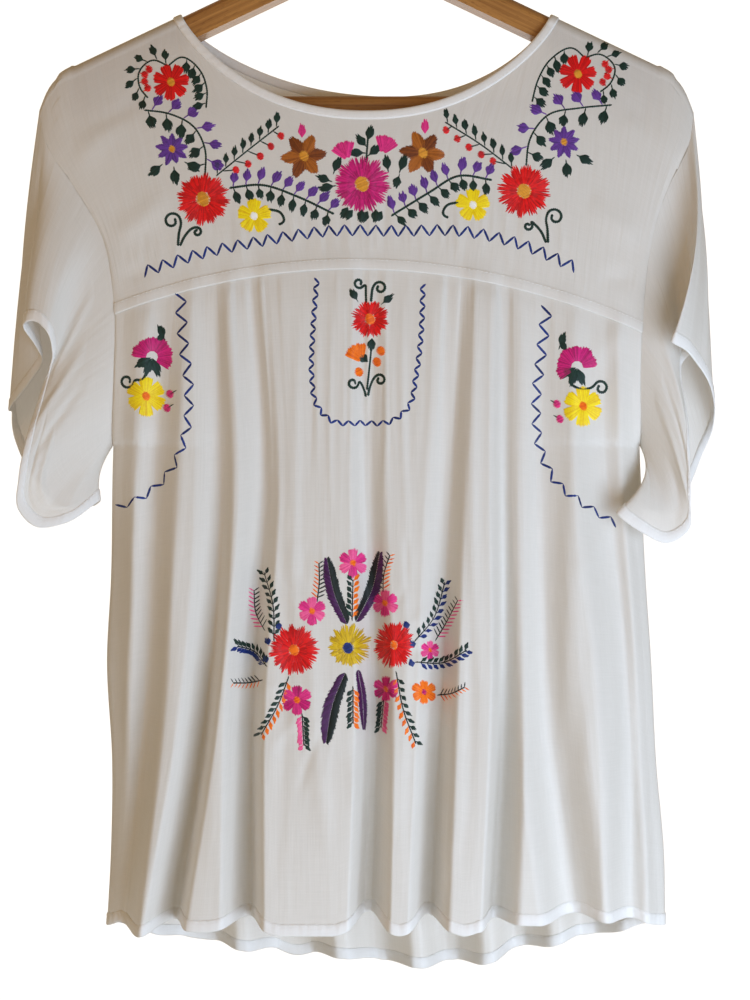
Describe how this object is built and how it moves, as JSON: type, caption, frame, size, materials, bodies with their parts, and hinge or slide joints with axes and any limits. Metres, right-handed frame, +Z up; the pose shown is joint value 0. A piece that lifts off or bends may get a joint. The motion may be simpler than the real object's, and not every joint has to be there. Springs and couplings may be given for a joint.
{
  "type": "embroidered tunic on a wooden hanger",
  "caption": "Loose short-sleeved rayon tunic with a yoke, gathered front and traditional floral embroidery, hanging on a wooden suit hanger.",
  "frame": {"origin": "top inside of the hanger's hook, where it rests on a rail", "axes": "+Z up along the hook's stem, +X to the right as seen from the front, -Y out of the tunic's front"},
  "size_m": [0.5503, 0.1385, 0.8746],
  "materials": {
    "cloth": "thin plain-woven rayon, off-white",
    "wood": "clear satin lacquer on beech",
    "hook": "polished plated wire"
  },
  "bodies": {
    "root": {"front_yoke": "cloth", "front_skirt": "cloth", "back": "cloth", "sleeve_left": "cloth", "sleeve_right": "cloth", "neck_binding": "cloth", "hanger_arm_left": "wood", "hanger_arm_right": "wood", "hanger_bar": "wood", "hanger_hook": "hook"}
  },
  "joints": []
}
